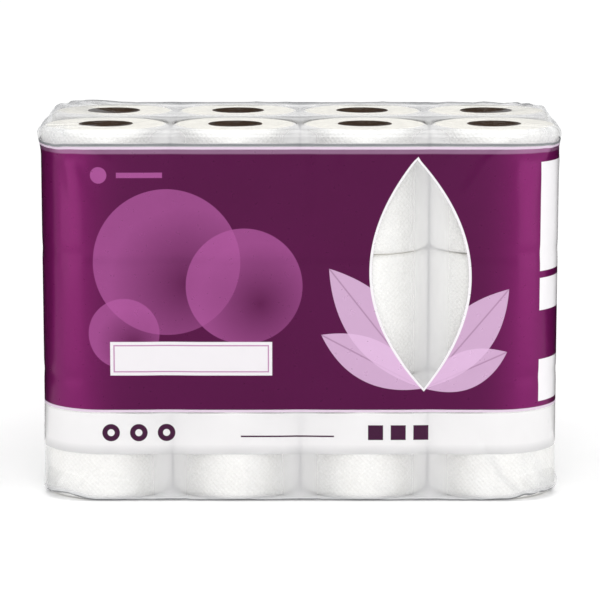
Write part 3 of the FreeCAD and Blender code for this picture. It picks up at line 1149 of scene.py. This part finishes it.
# %% [markdown]
# ## Floor, background and lamps
# The pack stands on a plain pale floor in front of white. The floor's white is given only to
# rays from the camera, from a mirror or through glass, so it doesn't light the pack from
# below, and the pack still casts a soft shade on it. Two soft boxes stand to the left and the
# right: they make the tall sheens on the round corners, together with a sheen that is painted
# into the ink there. A third hangs above, for the bright line along the top's front edge, and
# a large one far in front fills the rest.

# %% The floor
FLOOR_SIZE = 40.0
LIFT_NEAR = (0.14, 0.14, 0.14, 1.0)
LIFT_FAR = (0.56, 0.56, 0.56, 1.0)


def seen_ray(paint):
    """1 for rays from the camera, a mirror or through glass, 0 for the rest."""
    camera = paint.add("LightPath", {}, {}, output="Is Camera Ray")
    return paint.most(camera, camera.other("Is Glossy Ray"), camera.other("Is Transmission Ray"))


def floor_finish():
    paint = Finish("studio_floor")
    place = paint.add("TexCoord", {}, {}, output="Object")
    grain = paint.noise(place, 30.0, 3.0)
    colour = paint.mix(grain, screen(238, 238, 238), screen(246, 246, 246))
    matt = paint.add("BsdfDiffuse", {}, {"Color": colour})
    away = paint.add("VectorMath", {"operation": "LENGTH"}, {0: place}, output="Value") / 0.9
    far = 1 - 1 / (1 + away * away)
    lift = paint.mix(far, LIFT_NEAR, LIFT_FAR)
    bright = paint.add("Emission", {}, {"Color": lift})
    lifted = paint.add("AddShader", {}, {0: matt, 1: bright})
    paint.material.cycles.emission_sampling = "NONE"
    return paint.show(paint.add("MixShader", {}, {"Fac": seen_ray(paint), 1: matt, 2: lifted}))


def studio_piece(name, points, faces, material):
    """A plain mesh of the studio, with its points in metres."""
    mesh = bpy.data.meshes.new(name)
    mesh.from_pydata(points, [], faces)
    mesh.materials.append(material)
    piece = set_out(name, mesh)
    return piece


reach = FLOOR_SIZE / 2
floor_corners = [(-reach, -reach, 0), (reach, -reach, 0), (reach, reach, 0), (-reach, reach, 0)]
studio_piece("floor", floor_corners, [(0, 1, 2, 3)], floor_finish())

# %% The background
WORLD_LIGHT = 0.55
sky_paint = Finish("studio", bpy.data.worlds)
bpy.context.scene.world = sky_paint.material
strength = WORLD_LIGHT + seen_ray(sky_paint) * (1 - WORLD_LIGHT)
sky = sky_paint.add("Background", {}, {"Color": WHITE, "Strength": strength})
sky_paint.add("OutputWorld", {}, {"Surface": sky})
print("world light:", WORLD_LIGHT)

# %% [markdown]
# White film in front of white paper on a white floor has no edges. Photographers solve this
# with dark card outside the picture, which only the film's shine can see. Here it is one dark
# band all round the studio and a black flag beside each end of the pack, all hidden from every
# ray but the mirrored ones. So the creases on top show as light lines, and the bag's upright
# sides get a thin darker rim.

# %% The dark card
CARD_BAND_RADIUS = 3.2
CARD_BAND_LOW = 0.34
CARD_BAND_HIGH = 1.35
BAND_SIDES = 48
FLAG_NEAR = 0.235
FLAG_FAR = 1.0
FLAG_BEHIND = 0.12
FLAG_HEIGHT = 0.45


def board(name, low, high):
    """Dark card, a little cloudy between two tones, that glows dimly as an emitter instead of being
    lit.
    """
    paint = Finish(name)
    spread = paint.noise(paint.add("TexCoord", {}, {}, output="Object"), 0.8, 1.0)
    tone = paint.mix(spread, screen(low, low, low + 2), screen(high, high, high + 2))
    paint.material.cycles.emission_sampling = "NONE"
    return paint.show(paint.add("Emission", {}, {"Color": tone}))


dark_card = board("dark_card", 60, 96)
black_card = board("black_card", 14, 30)


def dark_stand(name, points, faces, material):
    """A piece of dark card that only mirrored rays can see."""
    stand = studio_piece(name, points, faces, material)
    for ray in ("camera", "diffuse", "transmission", "shadow"):
        setattr(stand, "visible_" + ray, False)


turns = np.linspace(0, 2 * math.pi, BAND_SIDES, endpoint=False)
ring = [(CARD_BAND_RADIUS * math.cos(a), CARD_BAND_RADIUS * math.sin(a)) for a in turns]
ring_points = [(x, y, z) for z in (CARD_BAND_LOW, CARD_BAND_HIGH) for x, y in ring]
after = [(i + 1) % BAND_SIDES for i in range(BAND_SIDES)]
ring_faces = [(i, j, j + BAND_SIDES, i + BAND_SIDES) for i, j in enumerate(after)]
dark_stand("dark_band", ring_points, ring_faces, dark_card)
for side, name in [(-1, "dark_flag_left"), (1, "dark_flag_right")]:
    near, far = side * FLAG_NEAR, side * FLAG_FAR
    flag = [(x, FLAG_BEHIND, z) for x, z in
            ((near, 0), (far, 0), (far, FLAG_HEIGHT), (near, FLAG_HEIGHT))]
    dark_stand(name, flag, [(0, 1, 2, 3)], black_card)
print("sides of the dark band:", BAND_SIDES)

# %% The lamps
TARGET = Vector((0, 0, BAG_HEIGHT * 0.5 * MM))
LAMPS = [
    ("left_box", (-0.84, -0.46, 0.45), 0.62, 0.9, 2.0),
    ("right_box", (0.84, -0.46, 0.45), 0.62, 0.9, 2.0),
    ("top_box", (0.0, -0.15, 1.7), 1.6, 1.0, 11.2),
    ("front_fill", (0.2, -2.6, 1.3), 1.6, 1.2, 19.5),
]
for name, where, width, height, watts in LAMPS:
    lamp = bpy.data.lights.new(name, "AREA")
    lamp.shape = "RECTANGLE"
    lamp.size = width
    lamp.size_y = height
    lamp.energy = watts
    holder = set_out(name, lamp)
    holder.location = where
    holder.rotation_euler = (TARGET - holder.location).to_track_quat("-Z", "Y").to_euler()
    holder.visible_camera = False
print("lamps:", len(LAMPS))

# %% [markdown]
# ## The camera
# The pack is seen straight from the front and from a little above, through a long lens, so
# its walls stay nearly upright and only a thin band of the top shows.

# %% Set the camera
CAMERA_PLACE = (0.0, -2.334, 0.544)
CAMERA_DOWN = 9.69
LENS = 172.3
camera_data = bpy.data.cameras.new("camera")
camera_data.lens = LENS
camera_data.sensor_width = 36.0
camera = set_out("camera", camera_data)
camera.location = CAMERA_PLACE
camera.rotation_euler = (math.radians(90 - CAMERA_DOWN), 0, 0)
bpy.context.scene.camera = camera
bpy.context.scene.view_settings.view_transform = "Standard"
